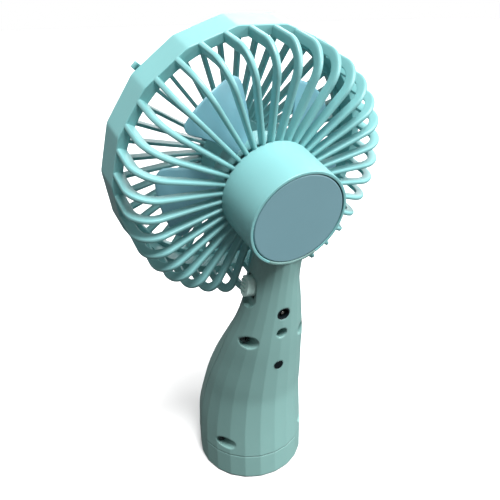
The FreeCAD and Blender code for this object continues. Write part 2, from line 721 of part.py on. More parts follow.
def blade_point(across, out):
    """Point of the blade's rear face; across runs from leading to trailing edge, out from root to tip."""
    def blend(a, b, t):
        return a.value + (b.value - a.value) * t

    lead_angle = blend(size.root_lead_angle, size.tip_lead_angle, out)
    trail_angle = blend(size.root_trail_angle, size.tip_trail_angle, out)
    lead_depth = blend(size.root_lead_depth, size.tip_lead_depth, out)
    trail_depth = blend(size.root_trail_depth, size.tip_trail_depth, out)
    angle = math.radians(lead_angle + (trail_angle - lead_angle) * across)
    sag = size.blade_camber.value * 4 * across * (1 - across)
    depth = lead_depth + (trail_depth - lead_depth) * across - sag
    radius = blend(size.blade_root, size.blade_tip, out)
    return Vector(radius * math.cos(angle), radius * math.sin(angle), depth)


def blade_shape():
    """Twisted blade with rounded tip corners, in the head's frame."""
    steps = 8
    grid = []
    for k in range(steps + 1):
        grid.append([blade_point(m / steps, k / steps) for m in range(steps + 1)])
    surface = Part.BSplineSurface()
    surface.interpolate(grid)
    sheet = surface.toShape().extrude(Vector(0, 0, size.blade_thick.value))
    corners = [blade_point(a, b) for a, b in ((0, 0), (0, 1), (0.5, 1), (1, 1), (1, 0))]
    flat = [Vector(p.x, p.y, size.hub_back.value - 3) for p in corners]
    rim = Part.Arc(flat[1], flat[2], flat[3])
    edges = [
        Part.LineSegment(flat[0], flat[1]).toShape(),
        rim.toShape(),
        Part.LineSegment(flat[3], flat[4]).toShape(),
        Part.LineSegment(flat[4], flat[0]).toShape(),
    ]
    block = Part.Face(Part.Wire(edges)).extrude(Vector(0, 0, size.rim_front.value))
    upright = []
    for edge in block.Edges:
        ends = [vertex.Point for vertex in edge.Vertexes]
        at_tip = min(math.hypot(p.x, p.y) for p in ends) > size.blade_tip.value - 0.5
        if at_tip and abs(ends[0].z - ends[-1].z) > 1:
            upright.append(edge)
    return sheet.common(block.makeFillet(size.blade_corner.value, upright))


one_blade = blade_shape()
blades = []
for k in range(int(size.blade_count.value)):
    blades.append(feature(f"Blade{k}", one_blade, turned(HEAD, 360 / size.blade_count.value * k)))
trimmed_blades = cut("TrimmedBlades", fuse("Blades", blades), hub_core)
node("impeller", fuse("Impeller", [hub, trimmed_blades]))

# Front guard ----------------------------------------------------------------------------

front = new_body("FrontGuard", HEAD)
rim_sketch = rectangle(
    sketch_on(front, "XZ_Plane", "Rim"), (size.rim_inner, size.rim_outer), (size.rim_back, size.rim_front),
)
revolve("RimTurn", front, rim_sketch)
disc_sketch = outline(sketch_on(front, "XZ_Plane", "Disc"), [
    (0, size.disc_back),
    (size.disc_radius, size.disc_back),
    (size.disc_radius, size.disc_front),
    (size.badge_radius, size.disc_front),
    (size.badge_radius, size.disc_front - size.badge_recess),
    (0, size.disc_front - size.badge_recess),
])
revolve("DiscTurn", front, disc_sketch)
spoke_sketch = outline(sketch_on(front, "XZ_Plane", "Spoke", turn=size.spoke_phase), [
    (size.spoke_root, size.spoke_root_back),
    (size.spoke_root, size.spoke_root_front),
    (size.spoke_end, size.spoke_end_front),
    (size.spoke_end, size.spoke_end_back),
])
spoke = pad("SpokePad", front, spoke_sketch, size.spoke_width, both_ways=True)
pattern("Spokes", front, spoke, size.spoke_count)
tab_sketch = rectangle(
    sketch_on(front, "XZ_Plane", "Tab", turn=size.tab_turn),
    (size.rim_outer - 0.6, size.tab_radius), (size.tab_back, size.tab_front),
)
tab = revolve("TabTurn", front, tab_sketch, size.tab_angle, both_ways=True)
pattern("Tabs", front, tab, size.lock_count)
lug_sketch = outline(sketch_on(front, "XZ_Plane", "Lug", turn=size.lug_angle), [
    (size.lug_inner, size.rim_front - 0.5),
    (size.rim_outer - 0.4, size.rim_front - 0.5),
    (size.rim_outer - 0.4, size.lug_back),
    (size.hook_inner, size.lug_back),
    (size.hook_inner, size.hook_back),
    (size.lug_outer, size.hook_back),
    (size.lug_outer, size.lug_front, 1.0),
    (size.lug_inner, size.lug_front, 0.6),
])
pad("LugPad", front, lug_sketch, size.lug_width, both_ways=True)
node("front_guard", front)

badge = new_body("Badge", HEAD)
badge_sketch = circle(
    sketch_on(badge, "XY_Plane", "Round", size.disc_front - size.badge_recess),
    size.badge_radius - size.badge_play,
)
pad("BadgePad", badge, badge_sketch, size.badge_thick)
node("front_badge", badge)

# Handle forms ---------------------------------------------------------------------------

PARTING = [
    (-3.3, 11.0), (-3.3, 11.85), (-2.7, 26.0), (0.6, 40.0), (5.4, 52.0), (9.6, 62.0), (13.0, 72.0),
    (13.4, 80.0), (13.8, 90.0), (15.6, 99.0), (19.8, 109.2), (22.5, 119.0),
]


def handle_stations():
    """Front point, back point and half width of each handle section."""
    stations = []
    for letter in "abcdefghi":
        height, ahead, behind, half = (
            getattr(size, f"{word}_{letter}").value for word in ("height", "front", "back", "half")
        )
        stations.append((Vector(0, ahead, height), Vector(0, behind, height), half))
    return stations


def neck_station(rise):
    """Section square to the head's underside, moved towards the head by the given share."""
    offset = Vector(0, size.neck_rise_y.value, size.neck_rise_z.value) * rise
    return (
        Vector(0, size.neck_front_y.value, size.neck_front_z.value) + offset,
        Vector(0, size.neck_back_y.value, size.neck_back_z.value) + offset,
        size.neck_half.value,
    )


def easy_slopes(places, values):
    """Slopes of a curve through the values that never overshoots them."""
    count = len(values)
    steps = [(values[k + 1] - values[k]) / (places[k + 1] - places[k]) for k in range(count - 1)]
    slopes = [steps[0]]
    for before, after in zip(steps, steps[1:]):
        slopes.append(2 * before * after / (before + after) if before * after > 0 else 0)
    return slopes + [steps[-1]]


def filled_stations(stations, between):
    """Stations with evenly spaced ones added between each pair along smooth curves."""
    places = [0]
    for lower, upper in zip(stations, stations[1:]):
        places.append(places[-1] + (upper[1] - lower[1]).Length)
    channels = [[a.y, a.z, b.y, b.z, half] for a, b, half in stations]
    slopes = [easy_slopes(places, values) for values in zip(*channels)]
    filled = []
    for k in range(len(stations) - 1):
        gap = places[k + 1] - places[k]
        for m in range(between + 1):
            t = m / (between + 1)
            row_values = []
            for c in range(5):
                low, high = channels[k][c], channels[k + 1][c]
                pull_low, pull_high = slopes[c][k] * gap, slopes[c][k + 1] * gap
                row_values.append(
                    low * (1 + 2 * t) * (1 - t) ** 2 + pull_low * t * (1 - t) ** 2
                    + high * t * t * (3 - 2 * t) + pull_high * t * t * (t - 1)
                )
            ahead_y, ahead_z, behind_y, behind_z, half = row_values
            filled.append((Vector(0, ahead_y, ahead_z), Vector(0, behind_y, behind_z), half))
    return filled + [stations[-1]]


def section_wire(station, inset):
    ahead, behind, half = station
    centre = (ahead + behind) / 2
    reach = behind - centre
    long_way = reach * ((reach.Length - inset) / reach.Length)
    wide_way = X_WAY * (half - inset)
    count = int(size.side_count.value)
    corners = []
    for k in range(count + 1):
        angle = math.pi / 2 + 2 * math.pi * k / count
        corners.append(centre + wide_way * math.cos(angle) + long_way * math.sin(angle))
    corners[-1] = corners[0]
    return Part.makePolygon(corners)


def faceted_loft(stations, inset):
    sections = [section_wire(station, inset) for station in filled_stations(stations, 2)]
    return Part.makeLoft(sections, True, False)


def handle_form():
    stations = handle_stations() + [neck_station(0), neck_station(1)]
    return faceted_loft(stations, 0)


def handle_cavity():
    stations = handle_stations()
    lowest = Vector(0, 0, size.cavity_bottom.value - size.height_a.value)
    ahead, behind, half = stations[0]
    stations[0] = (ahead + lowest, behind + lowest, half)
    drop = size.roof_drop.value / math.hypot(size.neck_rise_y.value, size.neck_rise_z.value)
    stations.append(neck_station(-drop))
    return faceted_loft(stations, size.shell_wall.value)


def region(side):
    """Everything in front of (-1) or behind (1) the parting line, above the base cap."""
    line = [Vector(-60, y + side * size.seam_gap.value / 2, z) for y, z in PARTING]
    line[0].z = size.shell_bottom.value
    line.pop(1)
    line[-1].z = 130
    corners = line + [Vector(-60, 80 * side, 130), Vector(-60, 80 * side, size.shell_bottom.value)]
    return Part.Face(Part.makePolygon(corners + corners[:1])).extrude(Vector(120, 0, 0))


form = feature("HandleForm", handle_form())
cavity = feature("HandleCavity", handle_cavity())
rear_half = common("RearHalf", form, feature("RearRegion", region(1)))
front_half = common("FrontHalf", form, feature("FrontRegion", region(-1)))

# Screws through the shells: position, seat, and the hollow each one sits in
SCREW_KINDS = [("upper", (1, -1)), ("middle", (1,)), ("lower", (1, -1))]
rear_blocks = []
rear_holes = []
front_blocks = []
front_holes = []
shell_screws = []
for kind, sides in SCREW_KINDS:
    for side in sides:
        part = {
            word: getattr(size, f"{kind}_{word}")
            for word in ("x", "z", "seat", "recess", "boss", "nut", "tip", "head")
        }
        name = f"{kind.title()}{'Right' if side > 0 else 'Left'}"
        axis = shifted(WORLD, part["x"] * side, 0, part["z"]).multiply(ALONG_Y)
        rear_blocks.append(cylinder(f"{name}Boss", axis, part["boss"], -10, 40))
        rear_holes.append(cylinder(f"{name}Recess", axis, part["recess"], part["seat"], 40))
        rear_holes.append(cylinder(f"{name}Hole", axis, size.screw_hole, -20, part["seat"] + 1))
        front_blocks.append(cylinder(f"{name}Post", axis, part["nut"], -30, 30))
        front_holes.append(
            cylinder(f"{name}Pilot", axis, size.screw_pilot, part["tip"] - size.pilot_extra, 30)
        )
        shell_screws.append(cross_head_screw(
            f"{name}Screw", shifted(axis, 0, 0, part["seat"]), part["head"], part["tip"] - part["seat"],
        ))
node("shell_screws", group_of("ShellScrews", shell_screws))

# Front shell
front_walls = cut("FrontWalls", front_half, cavity)
front_posts = common("FrontPosts", fuse("FrontPostRods", front_blocks), front_half)
front_solid = fuse("FrontSolid", [front_walls, front_posts])
head_room = cylinder("HeadRoom", HEAD, size.head_clearance, -2, size.cup_depth + 3)
node("handle_front_shell", cut("FrontShell", front_solid, fuse("FrontCuts", front_holes + [head_room])))

# Rear shell with its saddle
switch_floor = box(
    "SwitchFloor", SWITCH, (size.floor_back, size.recess_reach), (-size.floor_half, size.floor_half),
    (size.floor_low, size.floor_high),
)
rear_walls = cut("RearWalls", rear_half, cavity)
rear_bosses = common("RearBosses", fuse("RearBlocks", rear_blocks + [switch_floor]), rear_half)
rear_solid = fuse("RearSolid", [rear_walls, rear_bosses])
saddle_gap = cut(
    "HeadRoomRear",
    cylinder("HeadRoomRound", HEAD, size.head_clearance, -2, size.cup_depth + 3),
    sector("SaddleWedge", HEAD, size.head_clearance + 1, -3, size.saddle_depth, size.saddle_angle),
)
saddle = cut(
    "Saddle",
    sector("SaddleOuter", HEAD, size.saddle_outer, 0, size.saddle_depth, size.saddle_angle),
    cylinder("SaddleInner", HEAD, size.saddle_inner, -1, size.saddle_depth + 1),
)
flange = cut(
    "Flange",
    sector("FlangeOuter", HEAD, size.flange_outer, size.flange_back, size.saddle_depth, size.flange_angle),
    cylinder("FlangeInner", HEAD, size.saddle_inner, -1, size.saddle_depth + 1),
)
rear_joined = fuse("RearJoined", [cut("RearTrimmed", rear_solid, saddle_gap), saddle, flange])


def stadium(name, frame, half, low, high, back, ahead):
    """Round-ended block along the frame's Z, reaching out along its X."""
    middle = box(f"{name}Mid", frame, (back, ahead), (-half, half), (low + half, high - half))
    ends = [
        cylinder(f"{name}Low", shifted(frame, 0, 0, low + half).multiply(ALONG_X), half, back, ahead),
        cylinder(f"{name}High", shifted(frame, 0, 0, high - half).multiply(ALONG_X), half, back, ahead),
    ]
    return fuse(name, [middle] + ends)


switch_recess = stadium(
    "SwitchRecess", SWITCH, size.recess_half, size.recess_low, size.recess_high,
    size.recess_floor, size.recess_reach,
)
switch_slot = box(
    "SwitchSlot", SWITCH, (size.floor_back - 2, size.recess_floor + 1),
    (-size.stem_slot_half, size.stem_slot_half), (size.stem_slot_low, size.stem_slot_high),
)
board_out = BOARD.multiply(ALONG_Y)
jack_hole = cylinder("JackHole", board_out, size.barrel_hole, size.jack_front - 0.7, 5)
lamp_axis = shifted(BOARD, 0, 0, size.lamp_height).multiply(ALONG_Y)
lamp_hole = cylinder("LampHole", lamp_axis, size.lamp_hole, size.board_outer, 5)
wire_slot = box(
    "WireSlot", HEAD, (-size.slot_half, size.slot_half),
    (-size.head_clearance - 5, -size.saddle_inner + 1), (size.slot_back, size.slot_front),
)
cap_room = cylinder("CapRoom", HEAD, size.saddle_seat_radius, -2, size.saddle_seat_depth)
inner_room = cylinder("InnerRoom", HEAD, size.saddle_inner, -2, size.cup_depth + 3)
rear_cuts = rear_holes + [switch_recess, switch_slot, jack_hole, lamp_hole, wire_slot, cap_room, inner_room]
node("handle_rear_shell", cut("RearShell", rear_joined, fuse("RearCuts", rear_cuts)))

# Base cap and its pad -------------------------------------------------------------------

base = new_body("BaseCap")
base_sketch = polygon(
    sketch_on(base, "XY_Plane", "Sides", size.base_bottom),
    int(size.side_count.value), size.base_radius, -2,
)
pad("SidesPad", base, base_sketch, size.base_top - size.base_bottom)
lip_sketch = rectangle(
    sketch_on(base, "XZ_Plane", "Lip"), (size.lip_inner, size.lip_outer), (size.lip_foot, size.lip_top),
)
revolve("LipTurn", base, lip_sketch)
hollow_sketch = outline(sketch_on(base, "XZ_Plane", "Hollow"), [
    (0, size.base_floor),
    (size.base_hollow, size.base_floor),
    (size.base_hollow, size.base_hollow_top),
    (size.lip_inner, size.lip_foot),
    (size.lip_inner, size.lip_top + 1),
    (0, size.lip_top + 1),
])
groove("HollowCut", base, hollow_sketch)
under_sketch = circle(sketch_on(base, "XY_Plane", "Under", size.pad_thick), size.pad_radius + size.pad_play)
pocket("UnderCut", base, under_sketch, 2)
bevel_sketch = outline(sketch_on(base, "XZ_Plane", "Bevel"), [
    (size.base_radius - size.base_bevel * 1.4, size.base_bottom - 0.5),
    (size.base_radius + 1, size.base_bottom - 0.5),
    (size.base_radius + 1, size.base_bottom + size.base_bevel * 1.4),
])
groove("BevelCut", base, bevel_sketch)
node("base_cap", base)

foot = new_body("BasePad")
pad("Round", foot, circle(sketch_on(foot, "XY_Plane", "Face"), size.pad_radius), size.pad_thick)
node("base_pad", foot)

# Switch ---------------------------------------------------------------------------------

case_block = box(
    "CaseBlock", SWITCH, (size.case_back, size.floor_back), (-size.case_half, size.case_half),
    (size.case_low, size.case_high),
)
case_slot = box(
    "CaseSlot", SWITCH, (size.floor_back - size.case_slot_depth, size.floor_back + 1),
    (-size.case_slot_half, size.case_slot_half), (size.case_slot_low, size.case_slot_high),
)
node("switch_body", cut("SwitchCase", case_block, case_slot))

button_round = stadium(
    "ButtonRound", SWITCH, size.button_half, -size.button_tall / 2, size.button_tall / 2,
    size.button_back, size.button_front,
)
stem = box(
    "Stem", SWITCH, (size.stem_end, size.button_back + 1), (-size.stem_half, size.stem_half),
    (-size.stem_half, size.stem_half),
)
grips = []
for k in range(4):
    level = size.groove_pitch * (k - 1.5)
    grips.append(box(
        f"Grip{k}", SWITCH, (size.button_front - size.groove_depth, size.button_front + 1),
        (-size.button_half - 1, 0.8), (level - size.groove_width / 2, level + size.groove_width / 2),
    ))
node("switch_button", cut("Button", fuse("ButtonSolid", [button_round, stem]), fuse("Grips", grips)))

# Circuit board --------------------------------------------------------------------------

plank = box(
    "Plank", BOARD, (-size.board_half, size.board_half), (size.board_inner, size.board_outer),
    (size.board_low, size.board_high),
)
boss_axis = shifted(WORLD, 0, 0, size.middle_z).multiply(ALONG_Y)
boss_room = cylinder("BossRoom", boss_axis, size.board_hole, 0, 40)
window = box(
    "JackWindow", BOARD, (-size.jack_half - size.window_play, size.jack_half + size.window_play),
    (size.board_inner - 1, size.board_outer + 1),
    (size.jack_low - size.window_play, size.jack_high + size.window_play),
)
node("circuit_board", cut("Board", plank, fuse("BoardCuts", [boss_room, window])))

chips = [
    box("Chip", BOARD, (-3.5, 1.5), (size.board_inner - size.chip_high, size.board_inner), (-21, -16)),
    box("Inductor", BOARD, (-4.2, 0.2), (size.board_inner - size.coil_high, size.board_inner), (5, 9.4)),
    box("CapacitorA", BOARD, (2.2, 3.8), (size.board_inner - size.small_high, size.board_inner), (-21, -19)),
    box("CapacitorB", BOARD, (2.2, 3.8), (size.board_inner - size.small_high, size.board_inner), (-18, -16)),
    box("Resistor", BOARD, (-1, 1), (size.board_inner - size.small_high, size.board_inner), (-15, -14)),
]
node("board_parts", group_of("BoardParts", chips))

jack_block = box(
    "JackBlock", BOARD, (-size.jack_half, size.jack_half), (size.jack_back, size.jack_front),
    (size.jack_low, size.jack_high),
)
barrel = cylinder("Barrel", board_out, size.barrel_radius, size.jack_front - 1, size.barrel_front)
jack_bore = cylinder("JackBore", board_out, size.jack_bore, size.jack_bore_end, 1)
node("dc_jack", cut("Jack", fuse("JackSolid", [jack_block, barrel]), jack_bore))
node("dc_jack_pin", cylinder("JackPin", board_out, size.pin_radius, size.jack_bore_end, size.pin_tip))
node("charge_led", cylinder("Lamp", lamp_axis, size.lamp_radius, size.board_outer, size.lamp_front))

# Battery --------------------------------------------------------------------------------

cell = new_body("Cell", shifted(WORLD, 0, size.cell_y, 0))
cell_sketch = outline(sketch_on(cell, "XZ_Plane", "Section"), [
    (0, size.cell_bottom),
    (size.cell_radius, size.cell_bottom, size.cell_bevel),
    (size.cell_radius, size.cell_groove_low),
    (size.cell_radius - size.cell_groove, size.cell_groove_low),
    (size.cell_radius - size.cell_groove, size.cell_groove_high),
    (size.cell_radius, size.cell_groove_high),
    (size.cell_radius, size.cell_top, size.cell_bevel),
    (size.cell_button, size.cell_top),
    (size.cell_button, size.cell_button_top),
    (0, size.cell_button_top),
])
revolve("CellTurn", cell, cell_sketch)
node("battery_cell", cell)

CELL = shifted(WORLD, 0, size.cell_y, 0)
tabs = []
for name, bottom, side, reach in (
    ("LowTab", size.cell_bottom - size.tab_thick, 1, size.low_tab_reach),
    ("HighTab", size.cell_button_top, -1, size.high_tab_reach),
):
    top = bottom + size.tab_thick
    disc_radius = size.tab_disc if side > 0 else size.cell_button
    middle_x = size.tab_x * side
    tabs.append(fuse(name, [
        cylinder(f"{name}Disc", CELL, disc_radius, bottom, top),
        box(
            f"{name}Tongue", WORLD, (middle_x - size.tab_half, middle_x + size.tab_half),
            (size.cell_y, reach), (bottom, top),
        ),
    ]))
node("battery_tabs", group_of("BatteryTabs", tabs))
foam = [
    cylinder("FoamDisc", CELL, size.foam_radius, size.base_floor, size.foam_top),
    box(
        "FoamStrip", WORLD, (size.strip_left, size.strip_right), (size.strip_front, size.strip_back),
        (size.strip_low, size.strip_high),
    ),
]
node("battery_pads", group_of("BatteryPads", foam))

# Wires ----------------------------------------------------------------------------------

def wire_shape(points):
    """Round wire through straight runs joined by tangent arcs."""
    share = 0.45
    edges = []
    start = points[0]
    for k in range(1, len(points) - 1):
        corner = points[k]
        before = points[k - 1] - corner
        after = points[k + 1] - corner
        reach = share * min(before.Length, after.Length)
        way_in = before / before.Length
        way_out = after / after.Length
        half = way_in.getAngle(way_out) / 2
        radius = reach * math.tan(half)
        first = corner + way_in * reach
        last = corner + way_out * reach
        bisector = way_in + way_out
        bisector.normalize()
        middle = corner + bisector * (radius / math.sin(half) - radius)
        edges.append(Part.LineSegment(start, first).toShape())
        edges.append(Part.Arc(first, middle, last).toShape())
        start = last
    edges.append(Part.LineSegment(start, points[-1]).toShape())
    path = Part.Wire(edges)
    section = Part.Wire(Part.Circle(points[0], points[1] - points[0], size.wire_radius.value).toShape())
    return path.makePipeShell([section], True, False)


def board_face(x, z):
    """Point on the board's inner face at a height above the base."""
    lean = math.radians(size.board_lean.value)
    inner = size.board_inner.value
    along = (z - size.board_z.value + inner * math.sin(lean)) / math.cos(lean)
    solder_gap = size.wire_radius.value * math.tan(lean)
    return BOARD.multVec(Vector(x, inner - solder_gap, along))


battery_x = size.battery_wire_x.value
battery_z = size.battery_wire_z.value
high_y = size.high_wire_y.value
low_y = size.low_wire_y.value
tab_top = size.cell_button_top.value + size.tab_thick.value
node("battery_wire_positive", feature("PositiveWire", wire_shape([
    Vector(-battery_x, high_y, tab_top),
    Vector(-battery_x, high_y, battery_z),
    board_face(-battery_x, battery_z),
])))
node("battery_wire_negative", feature("NegativeWire", wire_shape([
    Vector(battery_x, low_y, size.cell_bottom.value),
    Vector(battery_x, low_y, battery_z),
    board_face(battery_x, battery_z),
])))
for label, side in (("motor_wire_positive", -1), ("motor_wire_negative", 1)):
    x = size.motor_wire_x.value * side
    y = size.motor_wire_y.value
    end = size.terminal_x.value * side
    level = size.wire_level.value
    node(label, feature(label.title().replace("_", ""), wire_shape([
        board_face(x, size.motor_wire_z.value),
        Vector(x, y, size.motor_wire_z.value),
        Vector(x, y, size.motor_wire_rise.value),
        HEAD.multVec(Vector(x, level, size.wire_depth.value)),
        HEAD.multVec(Vector(x, level, size.wire_back.value)),
        HEAD.multVec(Vector(end, size.terminal_low.value - size.wire_radius.value / 2, size.wire_back.value)),
    ])))

# Checks and export ----------------------------------------------------------------------

DOC.recompute()
faults = []
for item in DOC.Objects:
    if "Invalid" in item.State or "Error" in item.State:
        faults.append(f"{item.Label}: {item.State}")
    if item.TypeId in ("PartDesign::Pocket", "PartDesign::Groove"):
        if item.Shape.Volume > item.BaseFeature.Shape.Volume - 0.01:
            faults.append(f"{item.Label}: removes nothing")
os.makedirs(OUT, exist_ok=True)
for item in NODES:
    shape = item.Shape
    if shape.isNull() or not shape.isValid() or not shape.Solids:
        faults.append(f"{item.Label}: no valid solid")
        continue
    span = shape.BoundBox
    print(f"{item.Label}: {len(shape.Solids)} solids, {shape.Volume:.0f} mm3, "
          f"{span.XLength:.1f} x {span.YLength:.1f} x {span.ZLength:.1f}")
if faults:
    raise SystemExit("\n".join(faults))
for item in NODES:
    item.Shape.exportStep(os.path.join(OUT, f"{item.Label}.step"))
print(len(NODES), "parts")
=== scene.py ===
import json
import math

import bmesh
import bpy
from mathutils import Matrix, Vector

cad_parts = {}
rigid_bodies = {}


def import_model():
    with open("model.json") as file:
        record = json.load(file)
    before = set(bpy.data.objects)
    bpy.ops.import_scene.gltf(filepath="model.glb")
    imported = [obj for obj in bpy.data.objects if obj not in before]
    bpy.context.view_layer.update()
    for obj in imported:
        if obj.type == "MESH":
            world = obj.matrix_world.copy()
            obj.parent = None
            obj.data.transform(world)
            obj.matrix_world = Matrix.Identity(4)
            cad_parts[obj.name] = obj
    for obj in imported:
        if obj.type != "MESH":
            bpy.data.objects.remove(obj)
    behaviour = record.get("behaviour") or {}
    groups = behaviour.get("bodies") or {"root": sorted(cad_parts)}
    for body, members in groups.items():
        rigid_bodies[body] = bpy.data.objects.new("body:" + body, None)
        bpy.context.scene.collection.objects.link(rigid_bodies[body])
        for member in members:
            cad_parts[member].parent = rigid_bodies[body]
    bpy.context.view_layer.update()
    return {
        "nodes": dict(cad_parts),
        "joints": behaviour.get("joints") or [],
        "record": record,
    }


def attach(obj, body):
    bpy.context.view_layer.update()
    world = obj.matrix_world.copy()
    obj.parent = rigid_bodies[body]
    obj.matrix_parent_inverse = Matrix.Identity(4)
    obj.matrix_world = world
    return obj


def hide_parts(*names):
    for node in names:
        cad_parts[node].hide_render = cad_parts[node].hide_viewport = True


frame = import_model()

MM = 0.001
TURN = 2 * math.pi
SMOOTH_BELOW = math.radians(32)
NEAR_AXIS = 0.001

# The head's own frame: Z along the fan's axis out of the front, X as the model's X
spin = next(joint for joint in frame["joints"] if joint["name"] == "impeller_spin")
axis = Vector(spin["axis"]).normalized()
HEAD = Matrix.Identity(4)
for column, way in enumerate((Vector((1, 0, 0)), axis.cross(Vector((1, 0, 0))), axis)):
    for line in range(3):
        HEAD[line][column] = way[line]
HEAD.translation = Vector(spin["pos_m"])


# Materials ------------------------------------------------------------------------------

def linear(red, green, blue):
    """Linear colour of an 8-bit display colour."""
    values = []
    for level in (red, green, blue):
        level = level / 255
        values.append(level / 12.92 if level <= 0.04045 else ((level + 0.055) / 1.055) ** 2.4)
    return (*values, 1)


def shade(color, factor):
    return (*[min(1, channel * factor) for channel in color[:3]], 1)


class Shader:
    """A material's node tree with short ways to add and join nodes."""

    def __init__(self, name):
        self.material = bpy.data.materials.new(name)
        self.material.use_nodes = True
        self.tree = self.material.node_tree
        self.surface = self.tree.nodes["Principled BSDF"]
        self.place = self.node("ShaderNodeTexCoord").outputs["Object"]

    def node(self, kind, **settings):
        item = self.tree.nodes.new(kind)
        for key, value in settings.items():
            if key in item.inputs:
                item.inputs[key].default_value = value
            else:
                setattr(item, key, value)
        return item

    def join(self, output, target):
        self.tree.links.new(output, target)
        return target.node

    def noise(self, scale, detail=3.0, stretch=None, roughness=0.5):
        item = self.node("ShaderNodeTexNoise", Scale=scale, Detail=detail, Roughness=roughness)
        place = self.place
        if stretch:
            mapping = self.node("ShaderNodeMapping", Scale=stretch)
            self.join(place, mapping.inputs["Vector"])
            place = mapping.outputs["Vector"]
        self.join(place, item.inputs["Vector"])
        return item.outputs["Fac"]

    def ramp(self, source, stops):
        item = self.node("ShaderNodeValToRGB")
        ramp = item.color_ramp
        while len(ramp.elements) < len(stops):
            ramp.elements.new(0.5)
        for element, (place, color) in zip(ramp.elements, stops):
            element.position = place
            element.color = color
        self.join(source, item.inputs["Fac"])
        return item.outputs["Color"]

    def span(self, source, low, high, start=0.3, end=0.7):
        item = self.node("ShaderNodeMapRange")
        item.inputs["From Min"].default_value = start
        item.inputs["From Max"].default_value = end
        item.inputs["To Min"].default_value = low
        item.inputs["To Max"].default_value = high
        self.join(source, item.inputs["Value"])
        return item.outputs["Result"]

    def bump(self, source, height, strength=1.0, base=None):
        item = self.node("ShaderNodeBump", Strength=strength, Distance=height)
        self.join(source, item.inputs["Height"])
        if base:
            self.join(base, item.inputs["Normal"])
        return item.outputs["Normal"]


def moulded(name, color, rough, grain=0.00002, edge=0.00025, mottle=0.05, gloss=0.5, milky=0.0, coat=0.0):
    """Injection-moulded plastic: faint flow mottling, fine texture, uneven sheen, softened edges."""
    s = Shader(name)
    flow = s.noise(34, 4, stretch=(1.0, 1.0, 0.45))
    tint = s.ramp(flow, [
        (0.25, shade(color, 1 - mottle)), (0.55, color), (0.8, shade(color, 1 + mottle)),
    ])
    s.join(tint, s.surface.inputs["Base Color"])
    haze = s.noise(210, 5, roughness=0.62)
    s.join(s.span(haze, rough * 0.86, rough * 1.16), s.surface.inputs["Roughness"])
    soft = s.node("ShaderNodeBevel", samples=6, Radius=edge)
    ripple = s.bump(s.noise(120, 2), grain * 2.2, 0.5, soft.outputs["Normal"])
    texture = s.bump(s.noise(4200, 2, roughness=0.7), grain, 0.7, ripple)
    s.join(texture, s.surface.inputs["Normal"])
    s.surface.inputs["Specular IOR Level"].default_value = gloss
    s.surface.inputs["IOR"].default_value = 1.48
    if milky:
        s.surface.inputs["Subsurface Weight"].default_value = milky
        s.surface.inputs["Subsurface Radius"].default_value = (0.5, 0.9, 0.85)
        s.surface.inputs["Subsurface Scale"].default_value = 0.0012
    if coat:
        s.surface.inputs["Coat Weight"].default_value = coat
        s.surface.inputs["Coat Roughness"].default_value = 0.12
    return s.material


def metal(name, color, rough, stretch=(1, 1, 40), scratch=0.000015):
    """Drawn or turned metal with fine directional lines and a little tarnish."""
    s = Shader(name)
    lines = s.noise(900, 3, stretch=stretch)
    stain = s.noise(160, 4)
    tint = s.ramp(stain, [(0.3, shade(color, 0.72)), (0.6, color), (0.85, shade(color, 1.12))])
    s.join(tint, s.surface.inputs["Base Color"])
    s.surface.inputs["Metallic"].default_value = 1.0
    s.join(s.span(lines, rough * 0.7, rough * 1.35), s.surface.inputs["Roughness"])
    soft = s.node("ShaderNodeBevel", samples=4, Radius=0.0001)
    s.join(s.bump(lines, scratch, 0.8, soft.outputs["Normal"]), s.surface.inputs["Normal"])
    return s.material


def winding(name, color):
    """Enamelled wire laid side by side."""
    s = Shader(name)
    wave = s.node("ShaderNodeTexWave", Scale=520.0, Distortion=0.4)
    wave.bands_direction = "Y"
    s.join(s.place, wave.inputs["Vector"])
    tint = s.ramp(wave.outputs["Fac"], [(0.0, shade(color, 0.45)), (0.5, color), (1.0, shade(color, 1.3))])
    s.join(tint, s.surface.inputs["Base Color"])
    s.surface.inputs["Metallic"].default_value = 0.85
    s.surface.inputs["Roughness"].default_value = 0.32
    s.join(s.bump(wave.outputs["Fac"], 0.0001, 0.9), s.surface.inputs["Normal"])
    return s.material


def laminate(name, color):
    """Circuit board: glass weave under a solder mask with faint copper tracks."""
    s = Shader(name)
    weave = s.node("ShaderNodeTexChecker", Scale=2600.0)
    weave.inputs["Color1"].default_value = shade(color, 0.9)
    weave.inputs["Color2"].default_value = shade(color, 1.1)
    s.join(s.place, weave.inputs["Vector"])
    tracks = s.node("ShaderNodeTexBrick", Scale=330.0)
    tracks.inputs["Color1"].default_value = (0, 0, 0, 1)
    tracks.inputs["Color2"].default_value = (0, 0, 0, 1)
    tracks.inputs["Mortar"].default_value = (1, 1, 1, 1)
    tracks.inputs["Mortar Size"].default_value = 0.03
    s.join(s.place, tracks.inputs["Vector"])
    mix = s.node("ShaderNodeMix", data_type="RGBA")
    s.join(tracks.outputs["Color"], mix.inputs["Factor"])
    s.join(weave.outputs["Color"], mix.inputs[6])
    mix.inputs[7].default_value = shade(color, 2.1)
    s.join(mix.outputs[2], s.surface.inputs["Base Color"])
    s.surface.inputs["Roughness"].default_value = 0.35
    s.join(s.bump(tracks.outputs["Color"], 0.00004), s.surface.inputs["Normal"])
    return s.material


def foam(name, color):
    """Closed-cell foam."""
    s = Shader(name)
    cells = s.node("ShaderNodeTexVoronoi", Scale=1800.0)
    s.join(s.place, cells.inputs["Vector"])
    tint = s.ramp(cells.outputs["Distance"], [
        (0.0, shade(color, 1.8)), (0.6, color), (1.0, shade(color, 0.4)),
    ])
    s.join(tint, s.surface.inputs["Base Color"])
    s.surface.inputs["Roughness"].default_value = 0.95
    s.join(s.bump(cells.outputs["Distance"], 0.0002), s.surface.inputs["Normal"])
    return s.material


